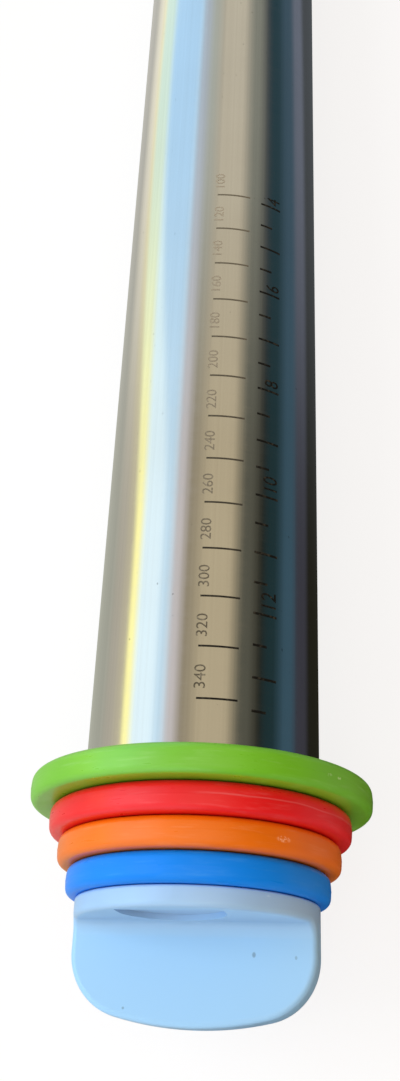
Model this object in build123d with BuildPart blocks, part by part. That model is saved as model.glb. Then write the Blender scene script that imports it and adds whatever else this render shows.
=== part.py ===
from build123d import *
from math import sqrt
import os

os.makedirs("parts", exist_ok=True)

# An adjustable rolling pin in millimetres: a hollow steel roller whose two ends each carry four flat
# thickness rings, held on a threaded stem by a screwed knob with a grip blade. X runs along the rolling
# axis, +Z is up and the origin is the middle of that axis. Every piece is drawn at the +X end, called
# right, and mirrored for the left. The grip blades of both knobs lie level.

# Shared
overrun = 2.0               # how far a cut runs past what it cuts
stack_gap = 0.08            # between neighbours clamped on the stem
push_clearance = 0.05       # radial, between pieces pushed or glued together
sliding_clearance = 0.1     # radial, between the stem and the rings that slide on it

# Roller tube
tube_length = 361.0
tube_diameter = 45.0
tube_wall = 0.8
tube_edge_radius = 0.3

# Thickness rings, in order from the tube outwards: how far each one lifts the tube off the worktop
ring_lifts = {"green": 10.0, "red": 6.0, "orange": 4.0, "blue": 2.0}
ring_thickness = 5.3
ring_edge_radius = 1.2
ring_hub_wall = 2.4
ring_web = 2.2
ring_band_setback = 1.5     # the cored groove ends this far inside the tube's radius

# Threaded stem: flange in the knob, smooth journal through the rings, thread in the plug
journal_diameter = 28.0
thread_diameter = 25.0
thread_length = 14.0
thread_clearance = 0.08
thread_lead_in = 1.0
stem_wall = 2.4
stem_floor = 2.0
flange_thickness = 1.6

# End plug, pushed into the tube and flush with its end
plug_length = 24.0
plug_face = 3.0
plug_skirt_wall = 3.6
socket_wall = 2.4
socket_spare = 2.0          # room past the end of the screwed-in stem
socket_floor = 2.0
plug_rib_count = 6
plug_rib_thickness = 1.6
plug_rib_length = 9.0
plug_rib_bite = 0.5         # how far a rib runs into the walls that it joins
plug_edge_chamfer = 0.6

# Seal in the groove of the plug
seal_section = 2.0
seal_groove_width = 2.5
seal_groove_setback = 6.0   # from the plug's inner end to the middle of the groove

# Knob: a collar as wide as the tube and a level blade cut out of the same round body
knob_length = 21.1
knob_wall = 2.2
collar_width = 3.6
blade_thickness = 8.0
tip_radius = 60.0
corner_radius = 11.0
cove_radius = 2.5
grip_edge_radius = 1.0
collar_back_radius = 0.5
notch_width = 19.0
notch_straight = 2.7        # the sides of the notch above its half-round foot
notch_depth = 1.0
notch_rise = 1.8            # how far the notch stops above the blade's face
notch_offset = 1.5          # from the middle towards -Y

# Places worked out from the sizes
tube_end = tube_length / 2
tube_radius = tube_diameter / 2
tube_bore_radius = tube_radius - tube_wall
journal_radius = journal_diameter / 2
thread_radius = thread_diameter / 2
ring_bore_radius = journal_radius + sliding_clearance
ring_hub_radius = ring_bore_radius + ring_hub_wall
ring_groove_radius = tube_radius - ring_band_setback
ring_pitch = ring_thickness + stack_gap
stack_start = tube_end + stack_gap
knob_back = stack_start + ring_pitch * len(ring_lifts)
blade_half = blade_thickness / 2
collar_front = knob_back + collar_width
knob_tip = knob_back + knob_length


def write_piece(part, name):
    """Label a finished piece and write it to its own file."""
    part.label = name
    export_step(part, f"parts/{name}.step")


def write_pair(part, name):
    """Write a piece of the right-hand end and its mirror image at the left-hand end."""
    with BuildPart() as mirrored:
        mirror(part, about=Plane.YZ)
    write_piece(part, f"{name}_right")
    write_piece(mirrored.part, f"{name}_left")


# Roller tube: thin stainless steel with softened ends
with BuildPart() as roller_tube:
    with BuildSketch(Plane.YZ.offset(-tube_end)):
        Circle(tube_radius)
        Circle(tube_bore_radius, mode=Mode.SUBTRACT)
    extrude(amount=tube_length)
    end_edges = roller_tube.edges().filter_by(GeomType.CIRCLE).group_by(SortBy.RADIUS)[-1]
    fillet(end_edges, tube_edge_radius)
write_piece(roller_tube.part, "roller_tube")


# End plug: a ribbed skirt with a groove for its seal, closed by a face that carries the stem's socket
plug_radius = tube_bore_radius - push_clearance
skirt_bore_radius = plug_radius - plug_skirt_wall
plug_inner_end = tube_end - plug_length
socket_radius = thread_radius + thread_clearance
socket_outer_radius = socket_radius + socket_wall
stem_end = tube_end - thread_length
socket_end = stem_end - socket_spare - socket_floor
seal_radius = seal_section / 2
seal_line_radius = tube_bore_radius - push_clearance - seal_radius
seal_groove_radius = seal_line_radius - seal_radius - push_clearance
seal_x = plug_inner_end + seal_groove_setback

with BuildPart() as end_plug:
    with BuildSketch(Plane.XZ) as plug_section:
        with Locations((tube_end, plug_radius)):
            Rectangle(plug_length, plug_skirt_wall, align=(Align.MAX, Align.MAX))
        chamfer(
            plug_section.vertices().group_by(Axis.X)[0].sort_by(Axis.Y)[-1],
            plug_edge_chamfer,
        )
        with Locations((seal_x, seal_groove_radius)):
            Rectangle(
                seal_groove_width,
                plug_skirt_wall,
                align=(Align.CENTER, Align.MIN),
                mode=Mode.SUBTRACT,
            )
        with Locations((tube_end, socket_radius)):
            Rectangle(plug_face, plug_radius - socket_radius, align=(Align.MAX, Align.MIN))
            Rectangle(tube_end - socket_end, socket_wall, align=(Align.MAX, Align.MIN))
        with Locations((socket_end, 0)):
            Rectangle(socket_floor, socket_outer_radius, align=(Align.MIN, Align.MIN))
    revolve(axis=Axis.X)
    rib_span = skirt_bore_radius - socket_outer_radius
    with BuildSketch(Plane.YZ.offset(tube_end - plug_face)):
        with PolarLocations(socket_outer_radius + rib_span / 2, plug_rib_count):
            Rectangle(rib_span + 2 * plug_rib_bite, plug_rib_thickness)
    extrude(amount=-plug_rib_length)
write_pair(end_plug.part, "end_plug")


# Plug seal: a rubber ring between the plug's groove and the tube's wall
with BuildPart() as plug_seal:
    with BuildSketch(Plane.XZ):
        with Locations((seal_x, seal_line_radius)):
            Circle(seal_radius)
    revolve(axis=Axis.X)
write_pair(plug_seal.part, "plug_seal")


# Thickness rings: solid rounded rims, with a cored groove that the next piece covers
for place, (colour, lift) in enumerate(ring_lifts.items()):
    ring_back = stack_start + ring_pitch * place
    with BuildPart() as thickness_ring:
        with BuildSketch(Plane.XZ) as ring_section:
            with Locations((ring_back, ring_bore_radius)):
                Rectangle(
                    ring_thickness,
                    tube_radius + lift - ring_bore_radius,
                    align=(Align.MIN, Align.MIN),
                )
            fillet(ring_section.vertices().group_by(Axis.Y)[-1], ring_edge_radius)
            with Locations((ring_back + ring_web, ring_hub_radius)):
                Rectangle(
                    ring_thickness,
                    ring_groove_radius - ring_hub_radius,
                    align=(Align.MIN, Align.MIN),
                    mode=Mode.SUBTRACT,
                )
        revolve(axis=Axis.X)
    write_pair(thickness_ring.part, f"{colour}_ring")


# Threaded stem: a hollow cup whose flange closes the back of the knob
flange_radius = tube_radius - knob_wall - push_clearance
stem_bore_radius = thread_radius - stem_wall

with BuildPart() as threaded_stem:
    with BuildSketch(Plane.XZ):
        with BuildLine():
            Polyline(
                (stem_end, 0),
                (stem_end, thread_radius - thread_lead_in),
                (stem_end + thread_lead_in, thread_radius),
                (stack_start, thread_radius),
                (stack_start, journal_radius),
                (knob_back, journal_radius),
                (knob_back, flange_radius),
                (knob_back + flange_thickness, flange_radius),
                (knob_back + flange_thickness, stem_bore_radius),
                (stem_end + stem_floor, stem_bore_radius),
                (stem_end + stem_floor, 0),
                close=True,
            )
        make_face()
    revolve(axis=Axis.X)
write_pair(threaded_stem.part, "threaded_stem")


def knob_profile(start, inset):
    """Give the half outline of the knob's rounded end, from a start place and drawn in by an inset."""
    side = tube_radius - inset
    tip = knob_tip - inset
    tip_arc = tip_radius - inset
    corner_arc = corner_radius - inset
    tip_centre = tip - tip_arc
    centres_apart = tip_arc - corner_arc
    corner_x = tip_centre + sqrt(centres_apart**2 - (side - corner_arc) ** 2)
    meet_share = tip_arc / centres_apart
    meet = (tip_centre + (corner_x - tip_centre) * meet_share, (side - corner_arc) * meet_share)
    with BuildSketch(Plane.XZ) as profile:
        with BuildLine():
            Polyline((tip, 0), (start, 0), (start, side), (corner_x, side))
            RadiusArc((corner_x, side), meet, corner_arc)
            RadiusArc(meet, (tip, 0), tip_arc)
        make_face()
    return profile.sketch


# Hollow of the blade
with BuildPart() as blade_hollow:
    add(knob_profile(knob_back + flange_thickness, knob_wall))
    revolve(axis=Axis.X)
    with BuildSketch(Plane.XZ):
        Rectangle(2 * knob_tip, blade_thickness - 2 * knob_wall)
    extrude(amount=tube_radius, both=True, mode=Mode.INTERSECT)

# Knob: the collar and the blade, with a coved root and a round-footed notch on either side
with BuildPart() as knob:
    add(knob_profile(knob_back, 0))
    revolve(axis=Axis.X)
    fillet(knob.edges().group_by(Axis.X)[0], collar_back_radius)
    with BuildSketch(Plane.XZ) as grip_recess:
        with Locations((collar_front, blade_half)):
            Rectangle(knob_length, tube_radius, align=(Align.MIN, Align.MIN))
        fillet(grip_recess.vertices().group_by(Axis.Y)[0].sort_by(Axis.X)[0], cove_radius)
        mirror(about=Plane.XZ)
    extrude(amount=tube_radius + overrun, both=True, mode=Mode.SUBTRACT)
    rim_edges = knob.edges(Select.LAST) - knob.edges().filter_by(Axis.Y)
    fillet(rim_edges, grip_edge_radius)
    notch_radius = notch_width / 2
    with BuildSketch(Plane.YZ.offset(collar_front - notch_depth)):
        with Locations((-notch_offset, blade_half + notch_rise + notch_radius)):
            Circle(notch_radius)
            Rectangle(
                notch_width,
                notch_radius,
                align=(Align.CENTER, Align.MIN),
                mode=Mode.SUBTRACT,
            )
            Rectangle(notch_width, notch_straight, align=(Align.CENTER, Align.MIN))
        mirror(about=Plane.XZ)
    extrude(amount=notch_depth + cove_radius + overrun, mode=Mode.SUBTRACT)
    with BuildSketch(Plane.YZ.offset(knob_back)):
        Circle(tube_radius - knob_wall)
    extrude(amount=flange_thickness, mode=Mode.SUBTRACT)
    add(blade_hollow.part, mode=Mode.SUBTRACT)
write_pair(knob.part, "knob")
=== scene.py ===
import logging
import math
from contextlib import contextmanager
from dataclasses import dataclass
from enum import Enum
from functools import cached_property
from typing import Callable, Iterator, Sequence

import bmesh
import bpy
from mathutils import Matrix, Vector


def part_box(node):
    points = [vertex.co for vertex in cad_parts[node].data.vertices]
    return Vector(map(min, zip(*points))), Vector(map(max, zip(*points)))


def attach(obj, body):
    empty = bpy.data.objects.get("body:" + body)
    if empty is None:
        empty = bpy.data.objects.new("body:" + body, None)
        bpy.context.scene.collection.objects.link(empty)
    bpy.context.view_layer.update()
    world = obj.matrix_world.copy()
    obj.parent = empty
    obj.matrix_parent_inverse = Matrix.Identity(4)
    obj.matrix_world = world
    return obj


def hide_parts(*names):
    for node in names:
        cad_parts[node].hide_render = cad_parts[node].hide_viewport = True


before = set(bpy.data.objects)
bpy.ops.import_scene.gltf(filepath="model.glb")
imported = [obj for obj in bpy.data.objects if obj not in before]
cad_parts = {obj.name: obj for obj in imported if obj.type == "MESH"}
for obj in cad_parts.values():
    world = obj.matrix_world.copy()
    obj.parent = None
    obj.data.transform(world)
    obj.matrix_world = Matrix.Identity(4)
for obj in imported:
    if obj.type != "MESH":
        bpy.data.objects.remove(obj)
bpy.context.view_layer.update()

# An adjustable rolling pin: brushed steel roller, coloured thickness rings and pale screwed knobs.
# Metres, in the frame's own axes: X along the rolling axis, +Z up, square to the grip blades.

LOG = logging.getLogger("rolling_pin")
MM = 0.001
WHITE = (1.0, 1.0, 1.0)
Point = tuple[float, float, float]
Colour = tuple[float, float, float]
Range = tuple[float, float]
Station = tuple[float, float]  # a place along the rolling axis, and a radius there


class End(Enum):
    """The two ends of the pin, by the sign of X."""

    RIGHT = 1
    LEFT = -1

    @property
    def suffix(self) -> str:
        """The end's name as the nodes use it."""
        return self.name.lower()


class RingColour(Enum):
    """The four thickness rings of one end, from the roller outwards."""

    GREEN = "green"
    RED = "red"
    ORANGE = "orange"
    BLUE = "blue"


class Element(Enum):
    """What edit mode selects."""

    VERTS = "VERT"
    EDGES = "EDGE"
    FACES = "FACE"


class Space(Enum):
    """The coordinates that a node tree can read: the object's own, or the direction to the sky."""

    OBJECT = "Object"
    SKY = "Generated"


class Ray(Enum):
    """The kinds of light path that are told apart."""

    CAMERA = "Is Camera Ray"
    GLOSSY = "Is Glossy Ray"
    THROUGH = "Is Transmission Ray"


@dataclass(frozen=True)
class Pattern:
    """A noise pattern: how many features fit in a metre along the rolling axis and across it."""

    along: float
    across: float
    octaves: float = 2.0
    fineness: float = 0.5


class Signal:
    """A number or colour that varies over a surface: one output socket with Python's arithmetic."""

    NOISE_MIDDLE = 0.5

    def __init__(self, recipe: "Recipe", socket: bpy.types.NodeSocket) -> None:
        """Wrap an output socket.

        Args:
            recipe: The node tree that the socket belongs to.
            socket: The output socket.
        """
        self.recipe = recipe
        self.socket = socket

    def math(self, operation: str, *others: "Signal | float") -> "Signal":
        """Add a Math node that starts from this signal.

        Args:
            operation: The Math node's operation.
            others: The node's further operands.

        Returns:
            The node's result.
        """
        operands = dict(enumerate((self, *others)))
        return self.recipe.signal("ShaderNodeMath", {"operation": operation}, operands)

    def __add__(self, other: "Signal | float") -> "Signal":
        """Sum."""
        return self.math("ADD", other)

    __radd__ = __add__

    def __sub__(self, other: "Signal | float") -> "Signal":
        """Difference."""
        return self.math("SUBTRACT", other)

    def __rsub__(self, other: float) -> "Signal":
        """Difference from a plain number."""
        return self.math("MULTIPLY_ADD", -1.0, other)

    def __mul__(self, other: "Signal | float") -> "Signal":
        """Product."""
        return self.math("MULTIPLY", other)

    __rmul__ = __mul__

    def sway(self, share: float) -> "Signal":
        """Turn a noise into a swing to both sides of 0."""
        return (self - self.NOISE_MIDDLE) * share

    def between(self, low: float, high: float) -> "Signal":
        """Rise smoothly from 0 at a low value to 1 at a high one.

        Args:
            low: Where the result is 0.
            high: Where the result is 1; below low it turns the rise round.

        Returns:
            The smooth step.
        """
        turned = high < low
        ends = (high, low) if turned else (low, high)
        step = self.recipe.signal(
            "ShaderNodeMapRange",
            {"interpolation_type": "SMOOTHSTEP", "clamp": True},
            {"Value": self, "From Min": ends[0], "From Max": ends[1]},
            output="Result",
        )
        return 1.0 - step if turned else step


class Recipe:
    """A node tree being written: the material of one finish, or the world."""

    # The Mix node's colour sockets share their names with its number and vector sockets.
    MIX_SHARE, MIX_FIRST, MIX_SECOND, MIX_RESULT = 0, 6, 7, 2

    def __init__(self, tree: bpy.types.NodeTree) -> None:
        """Empty a node tree and write to it.

        Args:
            tree: The node tree.
        """
        self.tree = tree
        tree.nodes.clear()

    @classmethod
    def material(cls, name: str) -> "tuple[Recipe, bpy.types.Material]":
        """Start a new material.

        Args:
            name: The material's name.

        Returns:
            The recipe and its material.
        """
        material = bpy.data.materials.new(name)
        material.use_nodes = True
        return cls(material.node_tree), material

    def node(
        self,
        kind: str,
        settings: dict[str, object] | None = None,
        inputs: "dict[str | int, object] | None" = None,
    ) -> bpy.types.Node:
        """Add one node of any kind.

        Args:
            kind: The node's type.
            settings: Its own settings.
            inputs: The values, signals or sockets of its inputs.

        Returns:
            The new node.
        """
        node = self.tree.nodes.new(kind)
        for name, value in (settings or {}).items():
            setattr(node, name, value)
        for name, value in (inputs or {}).items():
            if isinstance(value, Signal):
                self.tree.links.new(value.socket, node.inputs[name])
            elif isinstance(value, bpy.types.NodeSocket):
                self.tree.links.new(value, node.inputs[name])
            else:
                node.inputs[name].default_value = value
        return node

    def signal(
        self,
        kind: str,
        settings: dict[str, object] | None = None,
        inputs: "dict[str | int, object] | None" = None,
        output: str | int = 0,
    ) -> Signal:
        """Add one node and take one of its outputs.

        Args:
            kind: The node's type.
            settings: Its own settings.
            inputs: The values of its inputs.
            output: The name or place of the output.

        Returns:
            That output.
        """
        return Signal(self, self.node(kind, settings, inputs).outputs[output])

    def axes(self, space: Space) -> tuple[Signal, Signal, Signal]:
        """Split one kind of coordinates.

        Args:
            space: Which coordinates.

        Returns:
            Their X, Y and Z.
        """
        whole = self.signal("ShaderNodeTexCoord", output=space.value)
        split = self.node("ShaderNodeSeparateXYZ", inputs={0: whole})
        return tuple(Signal(self, split.outputs[axis]) for axis in "XYZ")

    @cached_property
    def place(self) -> tuple[Signal, Signal, Signal]:
        """The X, Y and Z of the shaded point in the object's own space."""
        return self.axes(Space.OBJECT)

    def ray(self, kind: Ray) -> Signal:
        """Give 1 for one kind of light path and 0 for the others."""
        return self.signal("ShaderNodeLightPath", output=kind.value)

    def vector(self, x: "Signal | float", y: "Signal | float", z: "Signal | float") -> Signal:
        """Join three numbers into a vector."""
        return self.signal("ShaderNodeCombineXYZ", inputs={0: x, 1: y, 2: z})

    def noise(self, pattern: Pattern) -> Signal:
        """Sample a noise pattern in the object's own space.

        Args:
            pattern: The pattern.

        Returns:
            The noise, around a half.
        """
        x, y, z = self.place
        inputs = {
            "Vector": self.vector(x * (pattern.along / pattern.across), y, z),
            "Scale": pattern.across,
            "Detail": pattern.octaves,
            "Roughness": pattern.fineness,
        }
        return self.signal("ShaderNodeTexNoise", inputs=inputs)

    def blend(
        self, share: "Signal | float", first: "Signal | Colour", second: "Signal | Colour", label: str = ""
    ) -> Signal:
        """Mix two colours.

        Args:
            share: How much of the second colour there is.
            first: The first colour.
            second: The second colour.
            label: What the node is called in the tree.

        Returns:
            The mixed colour.
        """
        first, second = (c if isinstance(c, Signal) else (*c, 1.0) for c in (first, second))
        settings = {"data_type": "RGBA", "blend_type": "MIX", "label": label}
        inputs = {self.MIX_SHARE: share, self.MIX_FIRST: first, self.MIX_SECOND: second}
        return self.signal("ShaderNodeMix", settings, inputs, self.MIX_RESULT)

    def bump(self, height: Signal, distance: float) -> Signal:
        """Turn a height, as a share of a distance in metres, into a normal."""
        inputs = {"Height": height, "Distance": distance, "Strength": 1.0}
        return self.signal("ShaderNodeBump", inputs=inputs, output="Normal")

    def surface(self, **inputs: object) -> None:
        """Finish a material with a Principled shader.

        Args:
            inputs: The shader's inputs, with underscores for spaces.
        """
        named = {name.replace("_", " "): value for name, value in inputs.items()}
        shader = self.node("ShaderNodeBsdfPrincipled", inputs=named)
        self.node("ShaderNodeOutputMaterial", inputs={"Surface": shader.outputs[0]})


@dataclass(frozen=True)
class BrushedSteel:
    """Stainless steel brushed round and round, with fine grain, drawn streaks and a few specks."""

    colour: Colour = (0.66, 0.655, 0.64)
    stain: Colour = (0.50, 0.48, 0.45)
    stain_share: float = 0.25
    stain_sway: float = 0.5
    speck_colour: Colour = (0.16, 0.15, 0.14)
    speck_share: float = 0.5
    roughness: float = 0.12
    grain: Pattern = Pattern(2600.0, 71.0, 3.0, 0.7)
    grain_rough: float = 0.16
    grain_rise: float = 0.7
    band: Pattern = Pattern(420.0, 36.0)
    band_rough: float = 0.10
    band_rise: float = 0.3
    drawn: Pattern = Pattern(5.0, 1500.0, 3.0, 0.6)
    drawn_rise: float = 0.9
    cloud: Pattern = Pattern(28.0, 28.0, 3.0)
    cloud_rough: float = 0.06
    specks: Pattern = Pattern(900.0, 900.0, 1.0)
    speck_range: Range = (0.78, 0.82)
    bump_height: float = 0.004 * MM

    def build(self) -> bpy.types.Material:
        """Write the material.

        Returns:
            The steel.
        """
        recipe, material = Recipe.material("brushed_steel")
        patterns = (self.grain, self.band, self.drawn, self.cloud, self.specks)
        grain, band, drawn, cloud, specks = (recipe.noise(pattern) for pattern in patterns)
        stained = cloud.sway(self.stain_sway) + drawn.sway(self.stain_sway) + self.stain_share
        tint = recipe.blend(stained, self.colour, self.stain)
        specked = specks.between(*self.speck_range) * self.speck_share
        rough = grain.sway(self.grain_rough) + band.sway(self.band_rough) + cloud.sway(self.cloud_rough)
        height = grain * self.grain_rise + band * self.band_rise + drawn * self.drawn_rise
        recipe.surface(
            Base_Color=recipe.blend(specked, tint, self.speck_colour),
            Metallic=1.0,
            Roughness=rough + self.roughness,
            Normal=recipe.bump(height, self.bump_height),
        )
        return material


@dataclass(frozen=True)
class Mark:
    """A small scuff or speck: its place, its reach, how strong it is and how much shorter it is along X."""

    spot: Point
    reach: float
    share: float
    squeeze: float = 1.0
    core: float = 0.45

    def spread(self, recipe: Recipe) -> Signal:
        """Lay the mark on a finish.

        Args:
            recipe: The finish's recipe.

        Returns:
            1 in the core of the mark, the given share of its reach, and 0 outside it.
        """
        x, y, z = recipe.place
        centre = (self.spot[0] * self.squeeze, *self.spot[1:])
        inputs = {0: recipe.vector(x * self.squeeze, y, z), 1: centre}
        away = recipe.signal("ShaderNodeVectorMath", {"operation": "DISTANCE"}, inputs, output="Value")
        return away.between(self.reach, self.reach * self.core)


@dataclass(frozen=True)
class Flash:
    """The faint pale line that a mould's joint leaves round a rim, on its side towards +Y."""

    middle: float
    wander: Pattern = Pattern(60.0, 60.0)
    wander_width: float = 2.0 * MM
    width: Range = (0.22 * MM, 0.06 * MM)
    side: Range = (3.0 * MM, 9.0 * MM)
    share: float = 0.2

    def spread(self, recipe: Recipe) -> Signal:
        """Lay the line on a finish.

        Args:
            recipe: The finish's recipe.

        Returns:
            How strong the line is, and 0 beside it.
        """
        x, y, _ = recipe.place
        wandered = x + recipe.noise(self.wander).sway(self.wander_width)
        line = (wandered - self.middle).math("ABSOLUTE").between(*self.width)
        return line * y.between(*self.side) * self.share


@dataclass(frozen=True)
class ThinPart:
    """Painted light: the bluer tint laid on a knob's blade apart from its collar, and where along the axis
    the tint comes in.
    """

    colour: Colour
    reach: Range


@dataclass(frozen=True)
class MouldedPlastic:
    """Semi-gloss moulded plastic: orange peel, cloudy tone, fine scratches and the piece's own marks, and
    where given, painted highlight streaks and painted light on a blade.
    """

    name: str
    colour: Colour
    # Pale colour of the scuffs, scratches and mould flash, and also of the streaks painted on as highlights.
    scuff: Colour
    roughness: float = 0.34
    gloss: float = 0.7
    deepening: float = 0.82
    cloud: Pattern = Pattern(60.0, 60.0, 3.0)
    cloud_sway: float = 1.2
    cloud_rough: float = 0.12
    flow: Pattern = Pattern(1500.0, 150.0, 3.0, 0.6)
    flow_range: Range = (0.52, 0.78)
    flow_share: float = 0.0
    flow_rough: float = 0.34
    scratches: Pattern = Pattern(546.0, 210.0, 4.0, 0.6)
    scratch_range: Range = (0.71, 0.78)
    scratch_share: float = 0.4
    scratch_rough: float = 0.18
    scratch_rise: float = 0.2
    peel: Pattern = Pattern(900.0, 900.0)
    peel_rise: float = 0.8
    peel_height: float = 0.012 * MM
    crumbs: Pattern = Pattern(2400.0, 2400.0)
    crumb_range: Range = (0.42, 0.62)
    scuffs: tuple[Mark, ...] = ()
    specks: tuple[Mark, ...] = ()
    speck_colour: Colour = (0.10, 0.16, 0.22)
    flash: Flash | None = None
    thin_part: ThinPart | None = None

    def build(self) -> bpy.types.Material:
        """Write the material.

        Returns:
            The plastic.
        """
        recipe, material = Recipe.material(self.name)
        patterns = (self.cloud, self.peel, self.scratches, self.crumbs)
        cloud, peel, scratches, crumbs = (recipe.noise(pattern) for pattern in patterns)
        deeper = tuple(channel * self.deepening for channel in self.colour)
        tone = recipe.blend(cloud.sway(self.cloud_sway) + Signal.NOISE_MIDDLE, self.colour, deeper)
        rough = cloud.sway(self.cloud_rough) + self.roughness
        if self.flow_share:
            flow = recipe.noise(self.flow)
            # Painted highlight: pale streaks round the axis laid into the colour; the same streaks also vary
            # the roughness.
            tone = recipe.blend(flow.between(*self.flow_range) * self.flow_share, tone, self.scuff)
            rough = rough + flow.sway(self.flow_rough)
        if self.flash:
            tone = recipe.blend(self.flash.spread(recipe), tone, self.scuff)
        broken = crumbs.between(*self.crumb_range)
        scratched = scratches.between(*self.scratch_range)
        for mark in self.scuffs:
            scratched = scratched.math("MAXIMUM", mark.spread(recipe) * broken * mark.share)
        tone = recipe.blend(scratched * self.scratch_share, tone, self.scuff)
        # Painted light: the blade is tinted bluer than the collar, for the difference in how the two are lit.
        if self.thin_part:
            blade_light = recipe.place[0].math("ABSOLUTE").between(*self.thin_part.reach)
            tone = recipe.blend(blade_light, tone, self.thin_part.colour)
        for mark in self.specks:
            tone = recipe.blend(mark.spread(recipe) * mark.share, tone, self.speck_colour)
        recipe.surface(
            Base_Color=tone,
            Roughness=rough + scratched * self.scratch_rough,
            Specular_IOR_Level=self.gloss,
            Normal=recipe.bump(peel * self.peel_rise + scratched * self.scratch_rise, self.peel_height),
        )
        return material


@dataclass(frozen=True)
class RingPlastic(MouldedPlastic):
    """The rings' plastic, with streaks round the axis: flow streaks in the roughness, and pale streaks
    painted on as highlights.
    """

    # How strong the pale streaks painted on as highlights are.
    flow_share: float = 0.11


@dataclass(frozen=True)
class EtchedInk:
    """The dark fill of the etched scale: patchy, and worn away towards the middle of the pin."""

    name: str
    colour: Colour = (0.008, 0.0075, 0.006)
    worn: Colour = (0.23, 0.21, 0.155)
    patches: float = 0.15
    wear: float = 0.0
    wear_reach: Range = (175.0 * MM, 45.0 * MM)
    patch: Pattern = Pattern(1500.0, 1500.0, 3.0)
    patch_range: Range = (0.45, 0.75)
    patch_rough: float = 0.2
    roughness: float = 0.5
    gloss: float = 0.15

    def build(self) -> bpy.types.Material:
        """Write the material.

        Returns:
            The ink.
        """
        recipe, material = Recipe.material(self.name)
        patch = recipe.noise(self.patch)
        tone = recipe.blend(patch.between(*self.patch_range) * self.patches, self.colour, self.worn)
        gone = recipe.place[0].math("ABSOLUTE").between(*self.wear_reach) * self.wear
        recipe.surface(
            Base_Color=recipe.blend(gone, tone, self.worn),
            Roughness=patch * self.patch_rough + self.roughness,
            Specular_IOR_Level=self.gloss,
        )
        return material


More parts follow.
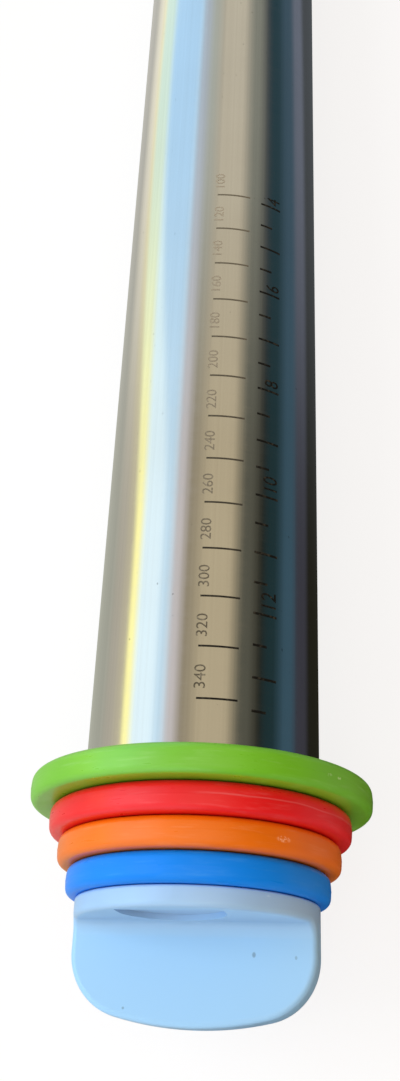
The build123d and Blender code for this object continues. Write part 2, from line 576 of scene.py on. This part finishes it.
class Bench:
    """Edit-mode modelling as it is done by hand, with nothing left selected between steps."""

    TOUCHING = 0.0001 * MM
    NEAR = 0.001 * MM

    @staticmethod
    def take(piece: bpy.types.Object) -> None:
        """Make one object the only selected and active one.

        Args:
            piece: The object.
        """
        bpy.ops.object.select_all(action="DESELECT")
        piece.select_set(True)
        bpy.context.view_layer.objects.active = piece

    @staticmethod
    @contextmanager
    def editing(piece: bpy.types.Object, kind: Element = Element.FACES) -> Iterator[None]:
        """Edit one object, starting with nothing of it selected.

        Args:
            piece: The object.
            kind: What is going to be selected.

        Yields:
            Nothing, while the object is in edit mode.
        """
        Bench.take(piece)
        bpy.ops.object.mode_set(mode="EDIT")
        bpy.ops.mesh.select_mode(type=kind.value)
        bpy.ops.mesh.select_all(action="DESELECT")
        yield
        bpy.ops.object.mode_set(mode="OBJECT")

    @staticmethod
    def pick(piece: bpy.types.Object, kind: Element, test: Callable[..., bool]) -> None:
        """Select the elements of the edited mesh that pass a test, and no others.

        Args:
            piece: The object in edit mode.
            kind: What is selected.
            test: What each element is tested by.
        """
        bpy.ops.mesh.select_all(action="DESELECT")
        mesh = bmesh.from_edit_mesh(piece.data)
        for element in getattr(mesh, kind.name.lower()):
            if test(element):
                element.select_set(True)
        mesh.select_flush_mode()
        bmesh.update_edit_mesh(piece.data)

    @staticmethod
    def modify(piece: bpy.types.Object, kind: str, **settings: object) -> None:
        """Add a modifier and apply it at once.

        Args:
            piece: The object.
            kind: The modifier's type.
            settings: The modifier's settings.
        """
        Bench.take(piece)
        modifier = piece.modifiers.new(kind.lower(), kind)
        for name, value in settings.items():
            setattr(modifier, name, value)
        bpy.ops.object.modifier_apply(modifier=modifier.name)

    @staticmethod
    def lathe(name: str, outline: Sequence[Station], steps: int) -> bpy.types.Object:
        """Turn a closed outline about the rolling axis.

        Args:
            name: The piece's name.
            outline: The outline's corners, of which the last joins the first.
            steps: How many facets go round.

        Returns:
            The turned piece.
        """
        tips = [Vector((x, 0, radius)) for x, radius in (outline[0], outline[-1])]

        def at_tip(vertex: bmesh.types.BMVert) -> bool:
            """Tell whether a vertex is the outline's first or last corner."""
            return any((vertex.co - tip).length < Bench.TOUCHING for tip in tips)

        bpy.ops.mesh.primitive_plane_add(size=MM)
        piece = bpy.context.object
        piece.name = name
        with Bench.editing(piece, Element.VERTS):
            bpy.ops.mesh.select_all(action="SELECT")
            bpy.ops.mesh.merge(type="CENTER")
            bpy.ops.transform.translate(value=tips[0])
            for (x, radius), (next_x, next_radius) in zip(outline, outline[1:]):
                step = (next_x - x, 0, next_radius - radius)
                bpy.ops.mesh.extrude_region_move(TRANSFORM_OT_translate={"value": step})
            Bench.pick(piece, Element.VERTS, at_tip)
            bpy.ops.mesh.edge_face_add()
            bpy.ops.mesh.select_all(action="SELECT")
            bpy.ops.mesh.spin(steps=steps, angle=math.tau, center=(0, 0, 0), axis=(1, 0, 0))
            bpy.ops.mesh.select_all(action="SELECT")
            bpy.ops.mesh.remove_doubles(threshold=Bench.NEAR)
            bpy.ops.mesh.normals_make_consistent(inside=False)
        return piece

    @staticmethod
    def bevel_hoops(piece: bpy.types.Object, hoops: Sequence[Station], size: float, steps: int) -> None:
        """Round some hoops of a turned piece.

        Args:
            piece: The turned piece.
            hoops: Where the hoops are.
            size: The rounding's radius.
            steps: How many facets it has.
        """

        def on_hoop(edge: bmesh.types.BMEdge, hoop: Station) -> bool:
            """Tell whether an edge lies on a hoop."""
            ends = ((v.co.x - hoop[0], math.hypot(v.co.y, v.co.z) - hoop[1]) for v in edge.verts)
            return all(abs(away) < Bench.NEAR for end in ends for away in end)

        with Bench.editing(piece, Element.EDGES):
            Bench.pick(piece, Element.EDGES, lambda edge: any(on_hoop(edge, hoop) for hoop in hoops))
            bpy.ops.mesh.bevel(offset=size, segments=steps, profile=0.5, affect="EDGES", clamp_overlap=False)

    @staticmethod
    def smooth(piece: bpy.types.Object, angle: float = 32.0) -> None:
        """Shade a piece smooth but for its edges that are sharper than an angle in degrees."""
        Bench.take(piece)
        bpy.ops.object.shade_smooth_by_angle(angle=math.radians(angle))

    @staticmethod
    def settle(piece: bpy.types.Object) -> None:
        """Put an object's own place into its mesh."""
        Bench.take(piece)
        bpy.ops.object.transform_apply(location=True, rotation=True, scale=True)

    @staticmethod
    def turned_copy(piece: bpy.types.Object, name: str) -> bpy.types.Object:
        """Copy a piece, turned end for end about the upright axis.

        Args:
            piece: The piece.
            name: The copy's name.

        Returns:
            The copy, with a mesh of its own.
        """
        Bench.take(piece)
        bpy.ops.object.duplicate(linked=False)
        copy = bpy.context.object
        copy.name = name
        copy.rotation_euler.z = math.pi
        Bench.settle(copy)
        return copy

    @staticmethod
    def dress(piece: bpy.types.Object, material: bpy.types.Material) -> None:
        """Give a piece one material all over."""
        piece.data.materials.clear()
        piece.data.materials.append(material)

    @staticmethod
    def dress_node(name: str, material: bpy.types.Material) -> None:
        """Give a CAD node one material all over, in its object's slots.

        Args:
            name: The node's name.
            material: The material.
        """
        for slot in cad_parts[name].material_slots:
            slot.link = "OBJECT"
            slot.material = material


@dataclass(frozen=True)
class Roller:
    """The steel tube with softened ends."""

    wall: float = 0.8 * MM
    edge: float = 0.3 * MM
    edge_facets: int = 3
    facets: int = 256
    finish: BrushedSteel = BrushedSteel()

    def build(self) -> bpy.types.Object:
        """Model the tube in the place of its node.

        Returns:
            The tube.
        """
        low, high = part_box("roller_tube")
        radius = high.y
        inner = radius - self.wall
        outline = [(low.x, radius), (high.x, radius), (high.x, inner), (low.x, inner)]
        tube = Bench.lathe("steel_roller", outline, self.facets)
        Bench.bevel_hoops(tube, outline[:2], self.edge, self.edge_facets)
        Bench.smooth(tube)
        Bench.dress(tube, self.finish.build())
        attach(tube, "roller")
        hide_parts("roller_tube")
        return tube


@dataclass(frozen=True)
class Ticks:
    """A row of ticks: their width, and the degrees from the top towards +Y where they are set out."""

    line: float
    angle: float


@dataclass(frozen=True)
class Digits:
    """A row of numbers: type size, stretch, degrees from the top towards +Y, and start before the tick."""

    size: float
    stretch: float
    angle: float
    gap: float


@dataclass(frozen=True)
class DiameterScale:
    """The etched scale: each mark gives the width of dough whose edge lies under it, from the middle out."""

    tube: bpy.types.Object
    proud: float = 0.03 * MM
    depth: float = 0.05 * MM
    clearance: float = 1.0 * MM
    strips: int = 8
    curve_steps: int = 3
    labels: range = range(100, 341, 20)
    ticks: Ticks = Ticks(0.38 * MM, 16.2)
    tick_length: float = 7.5 * MM
    digits: Digits = Digits(3.0 * MM, 1.06, 8.2, 1.7 * MM)
    inch: float = 25.4 * MM
    half_inches: range = range(8, 28)
    inches_between_numbers: int = 2
    inch_ticks: Ticks = Ticks(0.48 * MM, 32.7)
    inch_short: float = 2.9 * MM
    inch_long: float = 5.1 * MM
    inch_digits: Digits = Digits(4.8 * MM, 0.84, 41.5, 0.9 * MM)
    tick_ink: EtchedInk = EtchedInk("tick_ink", wear=0.55)
    digit_ink: EtchedInk = EtchedInk("faded_digit_ink", (0.085, 0.075, 0.052), (0.35, 0.32, 0.245), 0.5, 0.88)
    inch_ink: EtchedInk = EtchedInk("inch_ink")

    @property
    def _above(self) -> float:
        """The height at which a flat mark starts, just clear of the tube."""
        return self.tube.dimensions.z / 2 + self.clearance

    def _wrap(self, mark: bpy.types.Object, angle: float) -> None:
        """Lay a flat mark over the top of the tube, thicken it and turn it round to its angle.

        Args:
            mark: The flat mark, above the top of the tube.
            angle: Degrees from the top towards +Y.
        """
        Bench.settle(mark)
        half = max(abs(v.co.y) for v in mark.data.vertices)
        with Bench.editing(mark):
            for cut in range(1, self.strips):
                bpy.ops.mesh.select_all(action="SELECT")
                place = half * (2 * cut / self.strips - 1)
                bpy.ops.mesh.bisect(plane_co=(0, place, 0), plane_no=(0, 1, 0))
        Bench.modify(
            mark,
            "SHRINKWRAP",
            target=self.tube,
            wrap_method="PROJECT",
            use_project_z=True,
            use_negative_direction=True,
            offset=self.proud,
        )
        Bench.modify(mark, "SOLIDIFY", thickness=self.depth, offset=-1.0)
        mark.rotation_euler.x = -math.radians(angle)
        Bench.settle(mark)

    def _tick(self, x: float, length: float, line: float, angle: float) -> bpy.types.Object:
        """Make one tick across the tube.

        Args:
            x: Its place along the axis.
            length: Its length round the tube.
            line: Its width.
            angle: Where its middle is, in degrees from the top towards +Y.

        Returns:
            The tick.
        """
        bpy.ops.mesh.primitive_plane_add(size=1.0, location=(x, 0, self._above))
        tick = bpy.context.object
        tick.scale = (line, length, 1.0)
        self._wrap(tick, angle)
        return tick

    def _number(self, text: str, x: float, digits: Digits) -> bpy.types.Object:
        """Make one number that reads towards -X, with its top towards -Y.

        Args:
            text: The digits.
            x: The place of its tick along the axis.
            digits: How its row is set out.

        Returns:
            The number.
        """
        bpy.ops.object.select_all(action="DESELECT")
        bpy.ops.object.text_add(location=(x - digits.gap, 0, self._above), rotation=(0, 0, math.pi))
        number = bpy.context.object
        number.data.body = text
        number.data.size = digits.size
        number.data.align_x = "LEFT"
        number.data.align_y = "CENTER"
        number.data.resolution_u = self.curve_steps
        number.scale.x = digits.stretch
        bpy.ops.object.convert(target="MESH")
        self._wrap(number, digits.angle)
        return number

    def _millimetres(self) -> list[bpy.types.Object]:
        """Make a tick and a number for every labelled diameter, on both halves of the tube.

        Returns:
            The dressed marks.
        """
        tick_ink, digit_ink = self.tick_ink.build(), self.digit_ink.build()
        marks = []
        for end in End:
            for diameter in self.labels:
                x = end.value * diameter * MM / 2
                tick = self._tick(x, self.tick_length, self.ticks.line, self.ticks.angle)
                number = self._number(str(diameter), x, self.digits)
                for mark, ink in ((tick, tick_ink), (number, digit_ink)):
                    Bench.dress(mark, ink)
                    marks.append(mark)
        return marks

    def _inches(self) -> list[bpy.types.Object]:
        """Make a tick for every half inch of diameter, all hung from one line, and the whole inches' numbers.

        Returns:
            The dressed marks.
        """
        marks = []
        for end in End:
            for halves in self.half_inches:
                inches, odd = divmod(halves, 2)
                diameter = halves * self.inch / 2
                x = end.value * diameter / 2
                length = self.inch_short if odd else self.inch_long
                middle = self.inch_ticks.angle + math.degrees(length / self.tube.dimensions.z)
                marks.append(self._tick(x, length, self.inch_ticks.line, middle))
                if not odd and inches % self.inches_between_numbers == 0:
                    marks.append(self._number(str(inches), x, self.inch_digits))
        ink = self.inch_ink.build()
        for mark in marks:
            Bench.dress(mark, ink)
        return marks

    @staticmethod
    def _join(marks: list[bpy.types.Object], name: str) -> bpy.types.Object:
        """Join marks into one piece on the roller.

        Args:
            marks: The marks.
            name: The piece's name.

        Returns:
            The piece.
        """
        bpy.ops.object.select_all(action="DESELECT")
        for mark in marks:
            mark.select_set(True)
        bpy.context.view_layer.objects.active = marks[0]
        bpy.ops.object.join()
        scale = bpy.context.object
        scale.name = name
        Bench.settle(scale)
        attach(scale, "roller")
        return scale

    def build(self) -> list[bpy.types.Object]:
        """Model both scales on both halves of the tube.

        Returns:
            The millimetre scale and the inch scale.
        """
        millimetre = self._join(self._millimetres(), "millimetre_scale")
        return [millimetre, self._join(self._inches(), "inch_scale")]


@dataclass(frozen=True)
class ThicknessRing:
    """One thickness ring: rounded rim with a faint parting line, cored groove and bored hub."""

    colour: RingColour
    finish: RingPlastic
    hub_wall: float = 2.4 * MM
    web: float = 2.2 * MM
    bore_radius: float = 14.1 * MM
    groove_radius: float = 21.0 * MM
    rim_edge: float = 1.2 * MM
    rim_edge_facets: int = 6
    rim_edge_room: float = 1.05
    inner_edge: float = 0.3 * MM
    inner_edge_facets: int = 2
    line_width: float = 0.16 * MM
    line_height: float = 0.03 * MM
    crown: float = 0.30 * MM
    crown_steps: int = 4
    facets: int = 192

    def _model(self) -> bpy.types.Object:
        """Model the right-hand ring in the place of its node.

        Returns:
            The ring.
        """
        low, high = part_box(f"{self.colour.value}_ring_right")
        back, front, rim = low.x, high.x, high.y
        bore, groove = self.bore_radius, self.groove_radius
        hub = bore + self.hub_wall
        floor = back + self.web
        middle, half = (back + front) / 2, (front - back) / 2
        crest = rim - self.line_height
        # The outermost facet of the crown has room for the whole rounding of the rim's edge.
        inmost = half - self.rim_edge_room * self.rim_edge
        shoulders = [half, *(inmost * step / self.crown_steps for step in range(self.crown_steps, 0, -1))]

        def crown(offset: float) -> Station:
            """Give a point of the crowned rim by its distance from the ring's middle."""
            return middle + offset, crest - self.crown * (offset / half) ** 2

        outline = [
            (back, bore),
            *(crown(-offset) for offset in shoulders),
            crown(-self.line_width),
            (middle, rim),
            crown(self.line_width),
            *(crown(offset) for offset in reversed(shoulders)),
            (front, groove),
            (floor, groove),
            (floor, hub),
            (front, hub),
            (front, bore),
        ]
        ring = Bench.lathe(f"{self.colour.value}_thickness_ring_right", outline, self.facets)
        Bench.bevel_hoops(ring, [crown(-half), crown(half)], self.rim_edge, self.rim_edge_facets)
        inner = [(back, bore), (front, bore), (front, hub), (front, groove)]
        Bench.bevel_hoops(ring, inner, self.inner_edge, self.inner_edge_facets)
        Bench.smooth(ring)
        Bench.dress(ring, self.finish.build())
        return ring

    def build(self) -> list[bpy.types.Object]:
        """Model the ring and its twin, each on its own body.

        Returns:
            The right-hand ring and the left-hand one.
        """
        right = self._model()
        left = Bench.turned_copy(right, right.name.replace("right", "left"))
        for end, ring in ((End.RIGHT, right), (End.LEFT, left)):
            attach(ring, f"{end.suffix}_{self.colour.value}_ring")
            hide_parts(f"{self.colour.value}_ring_{end.suffix}")
        return [right, left]


@dataclass(frozen=True)
class RingStack:
    """The four thickness rings of each end, each in its own plastic with its own marks."""

    green: RingPlastic = RingPlastic(
        "green_plastic",
        (0.17, 0.56, 0.018),
        (0.50, 0.80, 0.36),
        gloss=0.9,
        scuffs=(
            Mark((183.35 * MM, 26.05 * MM, 19.44 * MM), 0.7 * MM, 1.6, 1.5),
            Mark((183.36 * MM, 27.50 * MM, 17.3 * MM), 0.6 * MM, 1.6, 1.5),
        ),
    )
    red: RingPlastic = RingPlastic(
        "red_plastic", (0.86, 0.006, 0.012), (0.92, 0.30, 0.33), gloss=0.55, flash=Flash(188.45 * MM)
    )
    orange: RingPlastic = RingPlastic(
        "orange_plastic",
        (0.87, 0.18, 0.002),
        (0.95, 0.50, 0.28),
        gloss=0.5,
        scuffs=(Mark((194.2 * MM, 18.2 * MM, 19.3 * MM), 1.7 * MM, 2.0, 2.6),),
    )
    blue: RingPlastic = RingPlastic("blue_plastic", (0.001, 0.25, 0.97), (0.16, 0.52, 0.94), gloss=0.25)

    def build(self) -> list[bpy.types.Object]:
        """Model all eight rings.

        Returns:
            The rings, from the roller outwards.
        """
        plastics = {
            RingColour.GREEN: self.green,
            RingColour.RED: self.red,
            RingColour.ORANGE: self.orange,
            RingColour.BLUE: self.blue,
        }
        rings = [ThicknessRing(colour, plastic) for colour, plastic in plastics.items()]
        return [piece for ring in rings for piece in ring.build()]


@dataclass(frozen=True)
class Fittings:
    """The knobs, stems, plugs and seals, which keep their CAD meshes."""

    shell: MouldedPlastic = MouldedPlastic(
        "knob_plastic",
        (0.36, 0.60, 0.90),
        (0.66, 0.84, 0.97),
        0.30,
        0.6,
        scuffs=(Mark((212.7 * MM, -4.7 * MM, 4.0 * MM), 0.8 * MM, 1.4, 2.0),),
        specks=(
            Mark((211.0 * MM, 11.2 * MM, 4.0 * MM), 0.42 * MM, 0.55, 0.7),
            Mark((211.35 * MM, 18.6 * MM, 4.0 * MM), 0.30 * MM, 0.40, 0.7),
            Mark((220.2 * MM, -11.8 * MM, 4.0 * MM), 0.30 * MM, 0.50),
        ),
        # Painted light: the blade's bluer tint against the collar.
        thin_part=ThinPart((0.315, 0.60, 0.91), (204.0 * MM, 209.0 * MM)),
    )
    core: MouldedPlastic = MouldedPlastic("plug_plastic", (0.20, 0.205, 0.21), (0.34, 0.34, 0.35), 0.42, 0.5)
    rubber: MouldedPlastic = MouldedPlastic(
        "seal_rubber", (0.020, 0.020, 0.021), (0.07, 0.07, 0.07), 0.62, 0.35
    )

    def build(self) -> list[bpy.types.Object]:
        """Dress the nodes of both ends.

        Returns:
            The dressed nodes' objects.
        """
        shell, core, rubber = (finish.build() for finish in (self.shell, self.core, self.rubber))
        finishes = {"knob": shell, "threaded_stem": shell, "end_plug": core, "plug_seal": rubber}
        names = []
        for end in End:
            for node, material in finishes.items():
                names.append(f"{node}_{end.suffix}")
                Bench.dress_node(names[-1], material)
        return [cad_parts[name] for name in names]


@dataclass(frozen=True)
class SoftCard:
    """A soft light or dark wall along the roller that shows in the gloss alone, by degrees about the axis."""

    name: str
    start: float
    end: float
    edge: float
    near: Colour
    far: Colour
    drift: float = 0.0


@dataclass(frozen=True)
class FrontGlow:
    """A soft bright field past the near end that shows in the gloss alone."""

    name: str
    depth: Range
    rise: Range
    fall: Range
    light: Colour


@dataclass(frozen=True)
class SoftLamp:
    """A square lamp: where it hangs, its side, its power in watts and its colour."""

    name: str
    place: Point
    size: float
    power: float
    colour: Colour


@dataclass(frozen=True)
class Studio:
    """Pale floor, white background, soft lamps and the camera of the photograph."""

    floor_size: float = 6.0
    floor_colour: Colour = (0.93, 0.93, 0.93)
    floor_lift: float = 0.81
    floor_fade: Range = (0.4, 1.8)
    camera_place: Point = (0.2321, 0.0398, 0.2046)
    camera_turn: Point = (27.159, 10.542, 92.323)
    camera_clip: float = 0.01
    lens: float = 36.17
    sensor: float = 36.0
    lamp_aim: Point = (0.12, 0.0, 0.0)
    lamps: tuple[SoftLamp, ...] = (
        SoftLamp("key_lamp", (0.15, -0.76, 1.03), 0.8, 6.7, (0.93, 0.97, 1.0)),
        SoftLamp("top_lamp", (0.4, 0.271, 1.275), 1.0, 5.5, (1.0, 0.97, 0.87)),
    )
    room_left: Colour = (0.94, 1.00, 1.08)
    room_right: Colour = (0.40, 0.16, 0.0)
    room_width: Range = (-0.8, 0.8)
    dark: Colour = (0.021, 0.020, 0.013)
    far_dark: Colour = (0.085, 0.095, 0.105)
    far: Range = (-0.30, -0.80)
    cards: tuple[SoftCard, ...] = (
        SoftCard("left wall", -167.0, -95.0, 10.0, (0.54, 0.55, 0.47), (0.61, 0.60, 0.55)),
        SoftCard("pale wall", -104.0, -71.0, 10.0, (0.64, 0.60, 0.50), (1.10, 1.06, 0.90), 13.0),
        SoftCard("warm wall", -87.0, -70.0, 7.0, (0.74, 0.68, 0.50), (1.32, 1.24, 0.80), 16.0),
        SoftCard("warm strip", -75.5, -50.0, 4.0, (1.66, 1.58, 0.68), (0.96, 1.24, 1.12), 22.0),
        SoftCard("window frame", -37.0, 1.0, 6.0, (0.43, 0.37, 0.26), (0.59, 0.63, 0.57)),
        SoftCard("window reveal", -40.0, -16.5, 6.0, (0.84, 0.79, 0.80), (0.62, 0.72, 0.84)),
        SoftCard("window", -65.0, -31.0, 5.5, (1.18, 1.45, 1.60), (1.05, 1.38, 1.45), 10.0),
        SoftCard("sky", -39.0, -29.0, 6.0, (0.84, 1.15, 1.40), (0.655, 1.03, 1.43), 36.0),
        SoftCard("cornice", 33.0, 58.0, 9.0, (0.13, 0.13, 0.10), (0.32, 0.33, 0.28)),
        SoftCard("ceiling", -3.0, 36.5, 9.0, (0.69, 0.585, 0.39), (0.75, 0.69, 0.55)),
        SoftCard("teal shade", 66.0, 108.0, 7.0, (0.019, 0.047, 0.054), (0.032, 0.072, 0.092)),
        SoftCard("blue glow", 86.0, 116.0, 9.0, (0.060, 0.128, 0.182), (0.070, 0.125, 0.175)),
        SoftCard("lilac glow", 107.0, 129.0, 6.0, (0.062, 0.062, 0.082), (0.190, 0.215, 0.280)),
    )
    glow: FrontGlow = FrontGlow(
        "front window", (0.45, 0.75), (-130.0, -90.0), (30.0, -10.0), (1.10, 1.20, 1.30)
    )

    def surround(self) -> None:
        """Write the world: white behind the object, with the soft cards over it for the gloss."""
        world = bpy.data.worlds.new("studio_surround")
        bpy.context.scene.world = world
        world.use_nodes = True
        recipe = Recipe(world.node_tree)
        x, y, z = recipe.axes(Space.SKY)
        turn = y.math("ARCTAN2", z) * math.degrees(1.0)
        depth = x.between(*self.far)
        shade = recipe.blend(depth, self.dark, self.far_dark, "dark")
        for card in self.cards:
            moved = turn + depth * card.drift if card.drift else turn
            rise = moved.between(card.start - card.edge, card.start + card.edge)
            fall = turn.between(card.end + card.edge, card.end - card.edge)
            shade = recipe.blend(rise * fall, shade, recipe.blend(depth, card.near, card.far), card.name)
        glow = self.glow
        share = x.between(*glow.depth) * turn.between(*glow.rise) * turn.between(*glow.fall)
        shade = recipe.blend(share, shade, glow.light, glow.name)
        camera, glossy, through = (recipe.ray(kind) for kind in Ray)
        backdrop = camera.math("MAXIMUM", glossy).math("MAXIMUM", through)
        room = recipe.blend(y.between(*self.room_width), self.room_left, self.room_right, "room")
        light = recipe.blend(backdrop, room, WHITE, "backdrop")
        light = recipe.blend(glossy, light, shade, "gloss")
        background = recipe.node("ShaderNodeBackground", inputs={"Color": light, "Strength": 1.0})
        recipe.node("ShaderNodeOutputWorld", inputs={"Surface": background.outputs[0]})

    def floor(self) -> None:
        """Lay the floor under the largest rings: near white to the camera, with the object's shadow."""
        low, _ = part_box("green_ring_right")
        bpy.ops.mesh.primitive_plane_add(size=self.floor_size, location=(0, 0, low.z))
        floor = bpy.context.object
        floor.name = "studio_floor"
        Bench.settle(floor)
        recipe, material = Recipe.material("floor_white")
        matt = recipe.node("ShaderNodeBsdfDiffuse", inputs={"Color": (*self.floor_colour, 1.0)})
        glow = recipe.node("ShaderNodeEmission", inputs={"Color": (*WHITE, 1.0)})
        x, y, _ = recipe.place
        away = (x * x + y * y).math("SQRT").between(*self.floor_fade)
        share = recipe.ray(Ray.CAMERA) * (away * (1.0 - self.floor_lift) + self.floor_lift)
        inputs = {0: share, 1: matt.outputs[0], 2: glow.outputs[0]}
        mixed = recipe.node("ShaderNodeMixShader", inputs=inputs)
        recipe.node("ShaderNodeOutputMaterial", inputs={"Surface": mixed.outputs[0]})
        Bench.dress(floor, material)
        floor.visible_glossy = False

    def hang(self, lamp: SoftLamp) -> None:
        """Hang one lamp that looks at the near half and doesn't show in the gloss.

        Args:
            lamp: The lamp.
        """
        light = bpy.data.lights.new(lamp.name, "AREA")
        light.size = lamp.size
        light.energy = lamp.power
        light.color = lamp.colour
        hung = bpy.data.objects.new(lamp.name, light)
        bpy.context.scene.collection.objects.link(hung)
        hung.location = lamp.place
        hung.rotation_euler = (Vector(self.lamp_aim) - Vector(lamp.place)).to_track_quat("-Z", "Y").to_euler()
        hung.visible_glossy = False

    def camera(self) -> None:
        """Put the camera where the photograph was taken from."""
        data = bpy.data.cameras.new("photo_camera")
        data.lens = self.lens
        data.sensor_width = self.sensor
        data.clip_start = self.camera_clip
        camera = bpy.data.objects.new("photo_camera", data)
        bpy.context.scene.collection.objects.link(camera)
        camera.location = self.camera_place
        camera.rotation_euler = [math.radians(angle) for angle in self.camera_turn]
        bpy.context.scene.camera = camera

    def build(self) -> None:
        """Set the whole stage."""
        bpy.context.scene.view_settings.view_transform = "Standard"
        self.surround()
        self.floor()
        for lamp in self.lamps:
            self.hang(lamp)
        self.camera()


def main() -> None:
    """Build the rolling pin and its stage."""
    logging.basicConfig(level=logging.INFO, format="%(name)s: %(message)s")
    Studio().build()
    tube = Roller().build()
    LOG.info("finished %s", tube.name)
    for assembly in (DiameterScale(tube), RingStack(), Fittings()):
        for piece in assembly.build():
            LOG.info("finished %s", piece.name)


if __name__ == "__main__":
    main()
